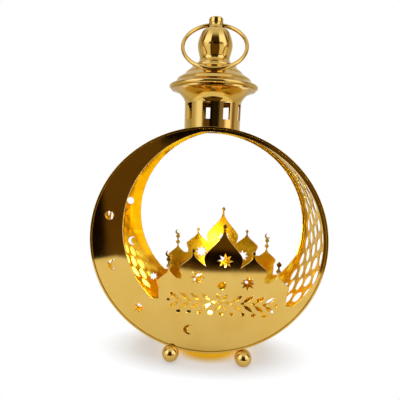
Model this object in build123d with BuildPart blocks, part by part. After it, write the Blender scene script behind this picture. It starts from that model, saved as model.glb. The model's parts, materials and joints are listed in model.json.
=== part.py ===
import math
import os

from build123d import *

os.makedirs("parts", exist_ok=True)

# Moon lantern on ball feet: a hooped drum between two cut plates, a turret with a carry ring, and
# a battery lamp inside.
# Lengths are in millimetres and angles in degrees.
# The origin lies on the table under the drum's middle. +Z is up, the front faces -Y and +X is to the
# viewer's right.

# Fits that all the pieces share
overrun = 2.0
seat_gap = 0.05
slide_gap = 0.3

# Drum: the band, and the lips and beads that hold a plate at each end
drum_radius = 70.0
drum_depth = 45.0
sheet = 0.8
lip_width = 0.5
lip_height = 0.4
bead_width = 0.8
bead_height = 0.6

# Pierced lattice of the band, on both sides of the drum
lattice_columns = 9
lattice_row_pairs = 2
lattice_middle_angle = -4.5
lattice_step_angle = 10.5
lattice_row_pitch = 7.3
lattice_tilt_angle = 26.0
almond_length = 10.4
almond_width = 6.2

# Moon-shaped window of the plates
moon_radius_share = 0.863
moon_centre_shares = (0.148, 0.122)
strip_width = 2.8

# Skyline: offset from the moon's axis, base level, half width and height of each dome, in shares of
# the drum radius
centre_dome_shares = (0.0, -0.179, 0.161, 0.357)
side_dome_shares = (0.254, -0.237, 0.119, 0.192)
minaret_shares = (0.467, -0.371, 0.101, 0.171)
onion_shares = (
    (0.87, 0.0), (0.96, 0.12), (1.0, 0.29), (0.84, 0.42), (0.44, 0.63), (0.16, 0.80), (0.05, 1.0),
)
wall_level_shares = (-0.179, -0.286, -0.49)
wall_foot_share = -0.79
spire_width = 1.0
spire_overlap = 0.4
centre_ball_radius = 1.2
side_ball_radius = 0.95
bead_ball_radius = 1.4
bead_ball_pitch = 4.3
top_moon_radius = 2.0
top_moon_angle = 38.0

# Cut-outs of the plates, with their places in shares of the drum radius
crescent_bite_share = 0.84
crescent_shift_share = 0.46
star_points = 8
star_waist_share = 0.52
hole_radius = 2.6
hole_place_shares = ((-0.823, 0.251), (0.144, -0.331))
star_radius = 4.7
star_place_shares = ((-0.066, -0.268), (0.163, -0.102), (0.366, -0.296))
small_star_radius = 3.5
small_star_place_shares = ((-0.582, -0.584),)
crescent_radius = 3.4
crescent_place_shares = ((-0.805, -0.188), (-0.131, -0.774))

# Leaf frieze across each plate: a flower in the middle, pairs of leaves on both sides and a row of dots
# below; the back plate carries fewer leaves
frieze_level_share = -0.49
petal_count = 6
petal_length = 4.6
petal_width = 2.0
petal_reach = 4.1
leaf_pairs = 4
back_leaf_pairs = 3
leaf_length = 7.2
leaf_width = 2.4
leaf_angle = 38.0
leaf_pitch = 6.6
leaf_first_reach = 9.6
leaf_rise = 3.1
frieze_dot_radius = 1.0
border_drop = 7.3
border_dots = 4
border_dot_radius = 1.3

# Ball feet under the drum's rims, notched to the band a little to the right of its middle
foot_radius = 5.4
foot_flat_radius = 1.5
foot_spread = 23.1
foot_shift = 2.6
foot_setback = 0.5
foot_standoff = 5.05

# Turret collar
collar_radius = 16.9
collar_height = 21.9
collar_rim_radius = 24.8
flare_height = 7.3
flare_bend_shares = (0.33, 0.63)
window_count = 9
window_width = 4.5
window_height = 9.1
window_rise = 4.4
window_angle = -101.0

# Cap, as shares of its brim radius and its height, from the brim to the top
brim_overhang = 1.4
brim_bead_radius = 1.1
cap_height = 13.65
cap_round = 0.3
cap_outline_shares = (
    (0.955, 0.0), (0.955, 0.14), (0.93, 0.19), (0.86, 0.26), (0.825, 0.41), (0.66, 0.60),
    (0.64, 0.675), (0.53, 0.84), (0.50, 0.90), (0.49, 0.97), (0.46, 1.0),
)
roof_first = 4
ring_rest_share = 0.3

# Finial, as shares of its bulb radius and its height
finial_radius = 10.1
finial_height = 25.4
finial_foot_shares = (1.03, 0.023)
finial_curve_shares = (
    (0.90, 0.090), (0.87, 0.154), (0.91, 0.230), (0.98, 0.342), (1.0, 0.433), (0.955, 0.530),
    (0.88, 0.617), (0.80, 0.685), (0.71, 0.727), (0.60, 0.756), (0.50, 0.774),
)
neck_radius_share = 0.38
knob_radius_share = 0.41
knob_base_share = 0.885
knob_round = 0.9
hinge_share = 0.857

# Carry ring of round wire
ring_wire_radius = 1.05
ring_play = 0.3

# Tie screw from under the band's top up into the finial
tie_radius = 1.5
tie_head_radius = 3.2
tie_head_height = 1.0
tie_thread_length = 12.0
washer_radius = 4.0
washer_thickness = 0.4

# Cells and their contacts
cell_radius = 5.25
cell_length = 44.5
cell_gap = 0.3
nub_radius = 1.9
nub_height = 1.0
contact_room = 1.2
contact_sheet = 0.4
contact_height = 8.0
contact_bump_radius = 2.0
contact_bump_taper = 25.0

# Battery case with its cover, its trough for the lamp board and the switch, and its screws
case_wall = 1.2
case_lip = 1.0
trough_depth = 4.6
cover_thickness = 1.4
cover_tongue = 0.7
grip_rib_count = 4
grip_rib_width = 0.8
grip_rib_pitch = 1.8
grip_rib_height = 0.5
boss_radius = 3.0
boss_spread = 13.0
case_screw_radius = 1.1
case_screw_head_radius = 2.2
case_screw_head_height = 1.4
case_screw_grip = 3.5

# Slide switch
switch_length = 10.0
switch_depth = 4.2
switch_place = -14.0
switch_travel = 3.0
slider_foot_length = 2.4
slider_foot_depth = 1.4
slider_foot_height = 1.6
slider_knob_length = 3.2
slider_knob_depth = 2.6
slider_knob_height = 1.8
slider_round = 0.4

# Lamp board and its two lamps
board_width = 6.0
board_thickness = 1.2
board_height = 50.0
board_place = 3.6
lamp_radius = 2.0
lamp_body_length = 2.6
lamp_flange_radius = 2.4
lamp_flange_thickness = 0.8
low_lamp_share = 0.38
high_lamp_share = 0.93

# Places that follow from the sizes above: the lamp unit stands midway between the two plates
drum_inner = drum_radius - sheet
moon_radius = moon_radius_share * drum_radius
foot_drop = math.sqrt((drum_radius + foot_standoff) ** 2 - foot_spread**2)
foot_height = math.sqrt(foot_radius**2 - foot_flat_radius**2)
foot_place = drum_depth / 2 - foot_setback
drum_height = foot_drop + foot_height
drum_top = drum_height + drum_radius
drum_axis = Axis((0, 0, drum_height), (0, 1, 0))

plate_radius = drum_inner - seat_gap
plate_outside = drum_depth / 2 - lip_width - seat_gap
plate_inside = plate_outside - sheet
bead_middle = plate_inside - seat_gap - bead_width / 2

brim_radius = collar_rim_radius + brim_overhang
cap_base = drum_top + collar_height + seat_gap
cap_top = cap_base + cap_height
finial_base = cap_top + seat_gap
hinge_height = finial_base + hinge_share * finial_height
neck_radius = neck_radius_share * finial_radius
neck_foot_radius = finial_curve_shares[-1][0] * finial_radius

bay_length = cell_length + 2 * contact_room
bay_depth = 4 * cell_radius + 3 * cell_gap
bay_height = 2 * cell_radius + 2 * cell_gap
channel_height = cover_thickness + 2 * slide_gap
case_length = bay_length + 2 * case_wall
case_depth = bay_depth + trough_depth + 3 * case_wall
case_height = case_wall + bay_height + channel_height + case_lip
case_base = drum_height - math.sqrt(drum_inner**2 - (case_length / 2) ** 2) + seat_gap
case_floor = case_base + case_wall
case_top = case_base + case_height
channel_base = case_floor + bay_height
lamp_shoulder = lamp_flange_thickness + lamp_body_length
lamp_reach = lamp_shoulder + lamp_radius + seat_gap + board_thickness / 2
unit_depth = lamp_reach + case_depth - case_wall - trough_depth / 2
trough_middle = lamp_reach - unit_depth / 2
case_middle = trough_middle - trough_depth / 2 - case_wall + case_depth / 2
bay_middle = case_middle + case_depth / 2 - case_wall - bay_depth / 2
cell_height = case_floor + cell_gap + cell_radius
cell_offset = cell_radius + cell_gap / 2


def write(builder, label):
    builder.part.label = label
    export_step(builder.part, f"parts/{label}.step")


def radial_plane(angle, distance):
    # A plane that faces away from the drum's axis, at an angle from +X towards +Z
    across = math.cos(math.radians(angle))
    upward = math.sin(math.radians(angle))
    place = (distance * across, 0, drum_height + distance * upward)
    return Plane(origin=place, x_dir=(-upward, 0, across), z_dir=(across, 0, upward))


def front_plane(distance):
    # A plane that faces the viewer, with its origin on the drum's axis
    return Plane(origin=(0, distance, drum_height), x_dir=(1, 0, 0), z_dir=(0, -1, 0))


def shares_of_drum(shares):
    return [(across * drum_radius, upward * drum_radius) for across, upward in shares]


def almond(length, width):
    with BuildSketch() as leaf:
        with BuildLine():
            ThreePointArc((-length / 2, 0), (0, width / 2), (length / 2, 0))
            ThreePointArc((length / 2, 0), (0, -width / 2), (-length / 2, 0))
        make_face()
    return leaf.sketch


def star(radius):
    step = math.pi / star_points
    corners = []
    for index in range(2 * star_points):
        reach = radius if index % 2 == 0 else radius * star_waist_share
        corners.append((reach * math.cos(index * step), reach * math.sin(index * step)))
    with BuildSketch() as rays:
        with BuildLine():
            Polyline(*corners, close=True)
        make_face()
    return rays.sketch


def crescent(radius):
    with BuildSketch() as moon:
        Circle(radius)
        with Locations((radius * crescent_shift_share, 0)):
            Circle(radius * crescent_bite_share, mode=Mode.SUBTRACT)
    return moon.sketch


def onion(half_width, height):
    # A dome with a drawn-out tip, standing on its base line
    flank_points = [(half_width * across, height * upward) for across, upward in onion_shares]
    with BuildSketch() as dome:
        with BuildLine():
            flank = Spline(*flank_points)
            Polyline(flank @ 1, (0, height), (0, 0), flank @ 0)
        make_face()
        mirror(about=Plane.YZ)
    return dome.sketch


# Pierced band
lattice_almond = almond(almond_length, almond_width)
with BuildPart() as ring_band:
    with BuildSketch(Plane.XY.offset(drum_height)):
        with Locations((drum_radius - sheet / 2, 0)):
            Rectangle(sheet, drum_depth)
        for side in (-1, 1):
            with Locations((drum_inner - lip_height / 2, side * (drum_depth - lip_width) / 2)):
                Rectangle(lip_height, lip_width)
            with Locations((drum_inner - bead_height / 2, side * bead_middle)):
                Rectangle(bead_height, bead_width)
    revolve(axis=drum_axis)
    for step in range(2 * lattice_columns - 1):
        side_angle = lattice_middle_angle + (step - lattice_columns + 1) * lattice_step_angle / 2
        first_row = step % 2 - lattice_row_pairs
        step_rows = range(first_row, lattice_row_pairs + 1, 2)
        for angle in (side_angle, 180 - side_angle):
            with BuildSketch(radial_plane(angle, drum_inner - overrun)):
                for row in step_rows:
                    row_tilt = lattice_tilt_angle * (row % 2) * row
                    with Locations(Location((0, row * lattice_row_pitch), row_tilt)):
                        add(lattice_almond)
            extrude(amount=sheet + 2 * overrun, mode=Mode.SUBTRACT)
    with BuildSketch(Plane.XY.offset(drum_height)):
        Circle(tie_radius + seat_gap)
    extrude(amount=drum_radius + overrun, mode=Mode.SUBTRACT)
    with BuildSketch(Plane.XY.offset(drum_height)):
        with Locations((-boss_spread, 0), (boss_spread, 0)):
            Circle(case_screw_radius + seat_gap)
    extrude(amount=-drum_radius - overrun, mode=Mode.SUBTRACT)
write(ring_band, "ring_band")

# Outline that the two plates share
moon_centre = shares_of_drum((moon_centre_shares,))[0]
centre_wall, side_wall, notch_wall = [level * drum_radius for level in wall_level_shares]
wall_foot = wall_foot_share * drum_radius
notch_half = math.sqrt(moon_radius**2 - (notch_wall - moon_centre[1]) ** 2)
wall_blocks = (
    (side_dome_shares[0] * drum_radius, centre_wall),
    (minaret_shares[0] * drum_radius, side_wall),
    (notch_half, notch_wall),
)
plate_domes = (
    (centre_dome_shares, (1,), centre_ball_radius),
    (side_dome_shares, (-1, 1), side_ball_radius),
    (minaret_shares, (-1, 1), bead_ball_radius),
)
frieze_level = frieze_level_share * drum_radius
frieze_leaf = almond(leaf_length, leaf_width)
frieze_petal = almond(petal_length, petal_width)
with BuildSketch() as window:
    Circle(drum_radius - strip_width)
    with Locations(moon_centre):
        Circle(moon_radius, mode=Mode.INTERSECT)


def plate_outline(moon_sides, pairs):
    # moon_sides says which minarets carry a crescent, -1 the left one and 1 the right one; pairs counts the
    # leaf pairs of the frieze on each side of its flower
    axis = moon_centre[0]
    with BuildSketch() as plate:
        Circle(plate_radius)
        add(window.sketch, mode=Mode.SUBTRACT)
        for half_width, level in wall_blocks:
            with Locations((axis, (level + wall_foot) / 2)):
                Rectangle(2 * half_width, level - wall_foot)
        for shares, sides, ball_radius in plate_domes:
            offset_x, base, half_width, height = [share * drum_radius for share in shares]
            tip = base + height
            dome = onion(half_width, height)
            balls = 2 if shares is minaret_shares else 1
            for side in sides:
                dome_axis = axis + side * offset_x
                with Locations((dome_axis, base)):
                    add(dome)
                with Locations((dome_axis, (base + wall_foot) / 2)):
                    Rectangle(2 * half_width * onion_shares[0][0], base - wall_foot)
                for index in range(balls):
                    ball_level = tip + ball_radius + spire_overlap + index * bead_ball_pitch
                    with Locations((dome_axis, ball_level)):
                        Circle(ball_radius)
                spire_top = ball_level + ball_radius + spire_overlap
                with Locations((dome_axis, (tip - spire_overlap + spire_top) / 2)):
                    Rectangle(spire_width, spire_top - tip + spire_overlap)
                if balls == 2 and side in moon_sides:
                    moon_level = spire_top + top_moon_radius - spire_overlap
                    with Locations(Location((dome_axis, moon_level), top_moon_angle)):
                        add(crescent(top_moon_radius))
        Circle(plate_radius, mode=Mode.INTERSECT)
        with Locations(*shares_of_drum(hole_place_shares)):
            Circle(hole_radius, mode=Mode.SUBTRACT)
        with Locations(*shares_of_drum(star_place_shares)):
            add(star(star_radius), mode=Mode.SUBTRACT)
        with Locations(*shares_of_drum(small_star_place_shares)):
            add(star(small_star_radius), mode=Mode.SUBTRACT)
        with Locations(*shares_of_drum(crescent_place_shares)):
            add(crescent(crescent_radius), mode=Mode.SUBTRACT)
        with Locations((axis, frieze_level)):
            Circle(frieze_dot_radius, mode=Mode.SUBTRACT)
        for index in range(petal_count):
            turn = index * 360 / petal_count
            across = petal_reach * math.cos(math.radians(turn))
            upward = petal_reach * math.sin(math.radians(turn))
            with Locations(Location((axis + across, frieze_level + upward), turn)):
                add(frieze_petal, mode=Mode.SUBTRACT)
        for index in range(-border_dots, border_dots + 1):
            with Locations((axis + index * leaf_pitch, frieze_level - border_drop)):
                Circle(border_dot_radius, mode=Mode.SUBTRACT)
        for index in range(pairs):
            reach = leaf_first_reach + index * leaf_pitch
            for side in (-1, 1):
                with Locations((axis + side * (reach + leaf_pitch / 2), frieze_level)):
                    Circle(frieze_dot_radius, mode=Mode.SUBTRACT)
                for lift in (-1, 1):
                    leaf_place = (axis + side * reach, frieze_level + lift * leaf_rise)
                    with Locations(Location(leaf_place, side * lift * leaf_angle)):
                        add(frieze_leaf, mode=Mode.SUBTRACT)
    return plate.sketch


with BuildPart() as front_plate:
    with BuildSketch(front_plane(-plate_outside)):
        add(plate_outline((-1,), leaf_pairs))
    extrude(amount=-sheet)
write(front_plate, "front_plate")

with BuildPart() as back_plate:
    with BuildSketch(front_plane(plate_outside)):
        add(plate_outline((-1, 1), back_leaf_pairs))
    extrude(amount=sheet)
write(back_plate, "back_plate")

# Ball feet, cut to fit under the band and flattened where they stand
for depth_name, depth_side in (("front", -1), ("rear", 1)):
    for width_name, width_side in (("left", -1), ("right", 1)):
        with BuildPart() as foot:
            with Locations((foot_shift + width_side * foot_spread, depth_side * foot_place, foot_height)):
                Sphere(foot_radius)
            with BuildSketch(Plane.XZ):
                with Locations((0, drum_height)):
                    Circle(drum_radius + seat_gap)
            extrude(amount=drum_depth / 2 + seat_gap, both=True, mode=Mode.SUBTRACT)
            split(bisect_by=Plane.XY, keep=Keep.TOP)
        write(foot, f"{depth_name}_{width_name}_foot")

# Turret collar: a windowed tube that straddles the band and flares out under the cap
flare_base = drum_top + collar_height - flare_height
flare_run = collar_rim_radius - collar_radius
flare_rise = flare_height - sheet
flare_bend = (
    collar_radius + flare_bend_shares[0] * flare_run,
    flare_base + flare_bend_shares[1] * flare_rise,
)
inner_bend = (flare_bend[0] - sheet, flare_bend[1] + sheet)
collar_inner = collar_radius - sheet
rim_top = (collar_rim_radius, flare_base + flare_height)
rim_low = (collar_rim_radius, flare_base + flare_rise)
with BuildPart() as collar:
    with BuildSketch(Plane.XZ):
        with BuildLine():
            Polyline(
                (collar_radius, flare_base),
                (collar_radius, drum_height),
                (collar_inner, drum_height),
                (collar_inner, flare_base),
            )
            ThreePointArc((collar_inner, flare_base), inner_bend, rim_top)
            Line(rim_top, rim_low)
            ThreePointArc(rim_low, flare_bend, (collar_radius, flare_base))
        make_face()
    revolve(axis=Axis.Z)
    with BuildSketch(Plane.XZ):
        with Locations((0, drum_height)):
            Circle(drum_radius + seat_gap)
    extrude(amount=drum_depth / 2 + overrun, both=True, mode=Mode.SUBTRACT)
    for index in range(window_count):
        turn = math.radians(window_angle + index * 360 / window_count)
        window_plane = Plane(
            origin=(0, 0, drum_top + window_rise + window_height / 2),
            x_dir=(-math.sin(turn), math.cos(turn), 0),
            z_dir=(math.cos(turn), math.sin(turn), 0),
        )
        with BuildSketch(window_plane):
            Rectangle(window_width, window_height)
        extrude(amount=collar_radius + overrun, mode=Mode.SUBTRACT)
write(collar, "collar")

# Tiered cap of spun sheet with a rolled brim
cap_points = [
    (brim_radius * across, cap_base + cap_height * upward) for across, upward in cap_outline_shares
]
hollow_points = [(across - sheet, upward - sheet) for across, upward in cap_points]
with BuildPart() as cap:
    with BuildSketch(Plane.XZ):
        with BuildLine():
            FilletPolyline(*cap_points, radius=cap_round)
            Polyline(cap_points[-1], (0, cap_top), (0, cap_base), cap_points[0])
        make_face()
        with Locations((brim_radius - brim_bead_radius, cap_base + brim_bead_radius)):
            Circle(brim_bead_radius)
    revolve(axis=Axis.Z)
    with BuildSketch(Plane.XZ):
        with BuildLine():
            Polyline(*hollow_points, (0, cap_top - sheet), (0, hollow_points[0][1]), hollow_points[0])
        make_face()
    revolve(axis=Axis.Z, mode=Mode.SUBTRACT)
    with BuildSketch(Plane.XY.offset(cap_base)):
        Circle(tie_radius + seat_gap)
    extrude(amount=cap_height + overrun, mode=Mode.SUBTRACT)
write(cap, "cap")

# The carry ring leans forward onto the cap's roof: its low point and its size follow from the roof
# and the hinge
roof_low = cap_points[roof_first]
roof_high = cap_points[roof_first + 1]
roof_run = (roof_high[0] - roof_low[0], roof_high[1] - roof_low[1])
roof_slope = math.hypot(*roof_run)
rest_distance = ring_wire_radius + slide_gap
rest_radius = roof_low[0] + ring_rest_share * roof_run[0] + rest_distance * roof_run[1] / roof_slope
rest_height = roof_low[1] + ring_rest_share * roof_run[1] - rest_distance * roof_run[0] / roof_slope
ring_drop = hinge_height - rest_height
ring_reach = math.hypot(rest_radius, ring_drop)
ring_bow = neck_foot_radius**2 / ring_reach
ring_offset = ring_bow / 2
ring_radius = (ring_reach + ring_offset) / 2
ring_lean = math.degrees(math.atan2(rest_radius, ring_drop))
ring_centre_share = (ring_radius - ring_offset) / ring_reach
ring_plane = Plane(
    origin=(0, -ring_centre_share * rest_radius, hinge_height - ring_centre_share * ring_drop),
    x_dir=(1, 0, 0),
    z_dir=(0, -ring_drop / ring_reach, rest_radius / ring_reach),
)
with BuildPart(ring_plane) as carry_ring:
    Torus(ring_radius, ring_wire_radius)
write(carry_ring, "carry_ring")
print(f"hinge at z {hinge_height:.3f}, ring radius {ring_radius:.3f}, lean {ring_lean:.3f} degrees")

# Turned finial with a hole across its neck for the ring and a threaded hole in its foot
ring_hole_radius = ring_wire_radius + ring_offset + ring_play
finial_foot = (finial_foot_shares[0] * finial_radius, finial_base + finial_foot_shares[1] * finial_height)
finial_curve = [
    (finial_radius * across, finial_base + finial_height * upward) for across, upward in finial_curve_shares
]
knob_radius = knob_radius_share * finial_radius
knob_base = finial_base + knob_base_share * finial_height
finial_top = finial_base + finial_height
finial_corner = (finial_foot[0], finial_base)
knob_side = (knob_radius, finial_top - knob_round)
knob_edge = (knob_radius - knob_round, finial_top)
with BuildPart() as finial:
    with BuildSketch(Plane.XZ):
        with BuildLine():
            Spline(finial_foot, *finial_curve)
            Polyline(finial_curve[-1], (neck_radius, knob_base), (knob_radius, knob_base), knob_side)
            RadiusArc(knob_side, knob_edge, -knob_round)
            Polyline(knob_edge, (0, finial_top), (0, finial_base), finial_corner, finial_foot)
        make_face()
    revolve(axis=Axis.Z)
    with BuildSketch(Plane.YZ):
        with Locations((0, hinge_height)):
            Circle(ring_hole_radius)
    extrude(amount=finial_radius, both=True, mode=Mode.SUBTRACT)
    with BuildSketch(Plane.XY.offset(finial_base)):
        Circle(tie_radius + seat_gap)
    extrude(amount=tie_thread_length + slide_gap, mode=Mode.SUBTRACT)
write(finial, "finial")

# Tie screw and its washer, under the top of the band
washer_top = drum_height + math.sqrt(drum_inner**2 - washer_radius**2) - seat_gap
washer_base = washer_top - washer_thickness
with BuildPart() as tie_washer:
    with BuildSketch(Plane.XY.offset(washer_base)):
        Circle(washer_radius)
        Circle(tie_radius + seat_gap, mode=Mode.SUBTRACT)
    extrude(amount=washer_thickness)
write(tie_washer, "tie_washer")

tie_head_top = washer_base - seat_gap
with BuildPart() as tie_screw:
    with BuildSketch(Plane.XY.offset(tie_head_top)):
        Circle(tie_head_radius)
    extrude(amount=-tie_head_height)
    with BuildSketch(Plane.XY.offset(tie_head_top)):
        Circle(tie_radius)
    extrude(amount=finial_base + tie_thread_length - tie_head_top)
write(tie_screw, "tie_screw")

# Battery case on the drum's floor: a bay for two cells, a channel for the cover and a trough along
# the front
boss_base = drum_height - math.sqrt(drum_inner**2 - (boss_spread + boss_radius) ** 2) + seat_gap
with BuildPart() as battery_case:
    with BuildSketch(Plane.XY.offset(case_base)):
        with Locations((0, case_middle)):
            Rectangle(case_length, case_depth)
    extrude(amount=case_height)
    with BuildSketch(Plane.XY.offset(boss_base)):
        with Locations((-boss_spread, 0), (boss_spread, 0)):
            Circle(boss_radius)
    extrude(amount=case_base - boss_base)
    with BuildSketch(Plane.XY.offset(case_floor)):
        with Locations((0, bay_middle)):
            Rectangle(bay_length, bay_depth)
    extrude(amount=case_height, mode=Mode.SUBTRACT)
    with BuildSketch(Plane.XY.offset(channel_base)):
        with Locations((case_wall, bay_middle)):
            Rectangle(case_length, bay_depth + 2 * cover_tongue)
    extrude(amount=channel_height, mode=Mode.SUBTRACT)
    with BuildSketch(Plane.XY.offset(channel_base)):
        with Locations((case_wall, bay_middle)):
            Rectangle(case_length, bay_depth)
    extrude(amount=case_height, mode=Mode.SUBTRACT)
    with BuildSketch(Plane.XY.offset(case_floor)):
        with Locations((0, trough_middle)):
            Rectangle(bay_length, trough_depth)
    extrude(amount=case_height, mode=Mode.SUBTRACT)
    with BuildSketch(Plane.XY.offset(boss_base)):
        with Locations((-boss_spread, 0), (boss_spread, 0)):
            Circle(case_screw_radius + seat_gap)
    extrude(amount=case_screw_grip, mode=Mode.SUBTRACT)
write(battery_case, "battery_case")

# Sliding cover: a plate that runs in the channel, with a raised middle and grip ribs
cover_left = -case_length / 2 + case_wall + slide_gap
cover_length = case_length / 2 - cover_left
cover_base = channel_base + slide_gap
with BuildPart() as battery_cover:
    with BuildSketch(Plane.XY.offset(cover_base)):
        with Locations((cover_left + cover_length / 2, bay_middle)):
            Rectangle(cover_length, bay_depth + 2 * cover_tongue - 2 * slide_gap)
    extrude(amount=cover_thickness)
    with BuildSketch(Plane.XY.offset(cover_base + cover_thickness)):
        with Locations((cover_left + cover_length / 2, bay_middle)):
            Rectangle(cover_length, bay_depth - 2 * slide_gap)
    extrude(amount=case_lip)
    with BuildSketch(Plane.XY.offset(cover_base + cover_thickness + case_lip)):
        with Locations((cover_left + cover_length / 4, bay_middle)):
            with GridLocations(grip_rib_pitch, 0, grip_rib_count, 1):
                Rectangle(grip_rib_width, bay_depth / 2)
    extrude(amount=grip_rib_height)
write(battery_cover, "battery_cover")

case_screw_top = boss_base + case_screw_grip - slide_gap
case_head_top = (
    drum_height - math.sqrt(drum_radius**2 - (boss_spread - case_screw_head_radius) ** 2) - seat_gap
)
with BuildPart() as case_screws:
    with BuildSketch(Plane.XY.offset(case_head_top)):
        with Locations((-boss_spread, 0), (boss_spread, 0)):
            Circle(case_screw_head_radius)
    extrude(amount=-case_screw_head_height)
    with BuildSketch(Plane.XY.offset(case_head_top)):
        with Locations((-boss_spread, 0), (boss_spread, 0)):
            Circle(case_screw_radius)
    extrude(amount=case_screw_top - case_head_top)
write(case_screws, "case_screws")

# Two cells that lie head to tail
for cell_name, cell_side in (("front", -1), ("rear", 1)):
    cell_foot = -cell_side * cell_length / 2
    cell_body = cell_side * (cell_length - nub_height)
    with BuildPart() as cell:
        with BuildSketch(Plane.YZ.offset(cell_foot)):
            with Locations((bay_middle + cell_side * cell_offset, cell_height)):
                Circle(cell_radius)
        extrude(amount=cell_body)
        with BuildSketch(Plane.YZ.offset(cell_foot)):
            with Locations((bay_middle + cell_side * cell_offset, cell_height)):
                Circle(nub_radius)
        extrude(amount=cell_side * cell_length)
    write(cell, f"{cell_name}_cell")

# Contacts: sheet against the bay's end walls with a bump for each cell
contact_low = case_floor + seat_gap + contact_height / 2
contact_places = [(bay_middle + side * cell_offset, cell_height) for side in (-1, 1)]
bump_height = contact_room - contact_sheet - 2 * seat_gap
link_face = -bay_length / 2 + seat_gap + contact_sheet
with BuildPart() as link_contact:
    with BuildSketch(Plane.YZ.offset(link_face)):
        with Locations((bay_middle, contact_low)):
            Rectangle(bay_depth - 2 * cell_gap, contact_height)
    extrude(amount=-contact_sheet)
    with BuildSketch(Plane.YZ.offset(link_face)):
        with Locations(*contact_places):
            Circle(contact_bump_radius)
    extrude(amount=bump_height, taper=contact_bump_taper)
write(link_contact, "link_contact")

with BuildPart() as terminal_contacts:
    with BuildSketch(Plane.YZ.offset(-link_face)):
        with Locations(*[(across, contact_low) for across, upward in contact_places]):
            Rectangle(2 * cell_offset - 2 * cell_gap, contact_height)
    extrude(amount=contact_sheet)
    with BuildSketch(Plane.YZ.offset(-link_face)):
        with Locations(*contact_places):
            Circle(contact_bump_radius)
    extrude(amount=-bump_height, taper=contact_bump_taper)
write(terminal_contacts, "terminal_contacts")

# Slide switch standing in the trough, with the slider at the left end of its slot
slot_length = slider_foot_length + switch_travel + 2 * slide_gap
slot_depth = slider_foot_height + slide_gap
with BuildPart() as switch_body:
    with BuildSketch(Plane.XY.offset(case_floor + seat_gap)):
        with Locations((switch_place, trough_middle)):
            Rectangle(switch_length, switch_depth)
    extrude(amount=case_top - case_floor - seat_gap)
    with BuildSketch(Plane.XY.offset(case_top)):
        with Locations((switch_place, trough_middle)):
            Rectangle(slot_length, slider_foot_depth + 2 * slide_gap)
    extrude(amount=-slot_depth, mode=Mode.SUBTRACT)
write(switch_body, "switch_body")

slider_place = switch_place - switch_travel / 2
with BuildPart() as switch_slider:
    with BuildSketch(Plane.XY.offset(case_top + slide_gap)):
        with Locations((slider_place, trough_middle)):
            Rectangle(slider_knob_length, slider_knob_depth)
    extrude(amount=slider_knob_height)
    fillet(switch_slider.edges().group_by(Axis.Z)[-1], slider_round)
    with BuildSketch(Plane.XY.offset(case_top + slide_gap)):
        with Locations((slider_place, trough_middle)):
            Rectangle(slider_foot_length, slider_foot_depth)
    extrude(amount=-slider_foot_height)
write(switch_slider, "switch_slider")

# Lamp board standing in the trough, with one lamp towards the front and one towards the back
board_base = case_floor + seat_gap
with BuildPart() as lamp_board:
    with BuildSketch(Plane.XY.offset(board_base)):
        with Locations((board_place, trough_middle)):
            Rectangle(board_width, board_thickness)
    extrude(amount=board_height)
write(lamp_board, "lamp_board")

for lamp_name, lamp_share, lamp_side in (("low", low_lamp_share, -1), ("high", high_lamp_share, 1)):
    lamp_back = trough_middle + lamp_side * (board_thickness / 2 + seat_gap)
    lamp_plane = Plane(
        origin=(board_place, lamp_back, board_base + lamp_share * board_height),
        x_dir=(1, 0, 0),
        z_dir=(0, 0, 1),
    )
    flange_face = lamp_side * lamp_flange_thickness
    lens_side = (lamp_radius, lamp_side * lamp_shoulder)
    lens_tip = (0, lamp_side * (lamp_shoulder + lamp_radius))
    with BuildPart() as lamp:
        with BuildSketch(lamp_plane):
            with BuildLine():
                Polyline(
                    (0, 0),
                    (lamp_flange_radius, 0),
                    (lamp_flange_radius, flange_face),
                    (lamp_radius, flange_face),
                    lens_side,
                )
                RadiusArc(lens_side, lens_tip, -lamp_side * lamp_radius)
                Line(lens_tip, (0, 0))
            make_face()
        revolve(axis=Axis(lamp_plane.origin, (0, 1, 0)))
    write(lamp, f"{lamp_name}_lamp")
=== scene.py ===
import json
import math

import bmesh
import bpy
from mathutils import Matrix, Vector


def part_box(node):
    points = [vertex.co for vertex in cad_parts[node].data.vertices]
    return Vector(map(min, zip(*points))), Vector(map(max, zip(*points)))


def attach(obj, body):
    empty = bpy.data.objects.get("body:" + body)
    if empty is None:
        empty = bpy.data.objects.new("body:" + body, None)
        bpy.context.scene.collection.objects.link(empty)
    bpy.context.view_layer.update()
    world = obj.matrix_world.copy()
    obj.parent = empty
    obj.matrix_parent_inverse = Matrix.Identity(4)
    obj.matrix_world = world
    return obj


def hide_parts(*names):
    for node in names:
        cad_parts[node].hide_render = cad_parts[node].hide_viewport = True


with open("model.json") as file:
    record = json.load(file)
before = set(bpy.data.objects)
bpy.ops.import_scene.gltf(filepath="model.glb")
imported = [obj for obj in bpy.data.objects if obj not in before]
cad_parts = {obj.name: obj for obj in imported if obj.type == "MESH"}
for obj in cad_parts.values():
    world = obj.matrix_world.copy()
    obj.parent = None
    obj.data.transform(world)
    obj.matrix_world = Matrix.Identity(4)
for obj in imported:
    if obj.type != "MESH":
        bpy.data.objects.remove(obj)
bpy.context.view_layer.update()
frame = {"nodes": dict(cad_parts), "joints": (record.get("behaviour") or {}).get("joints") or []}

mm = 0.001
scene = bpy.context.scene
scene.view_settings.view_transform = "Standard"


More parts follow.
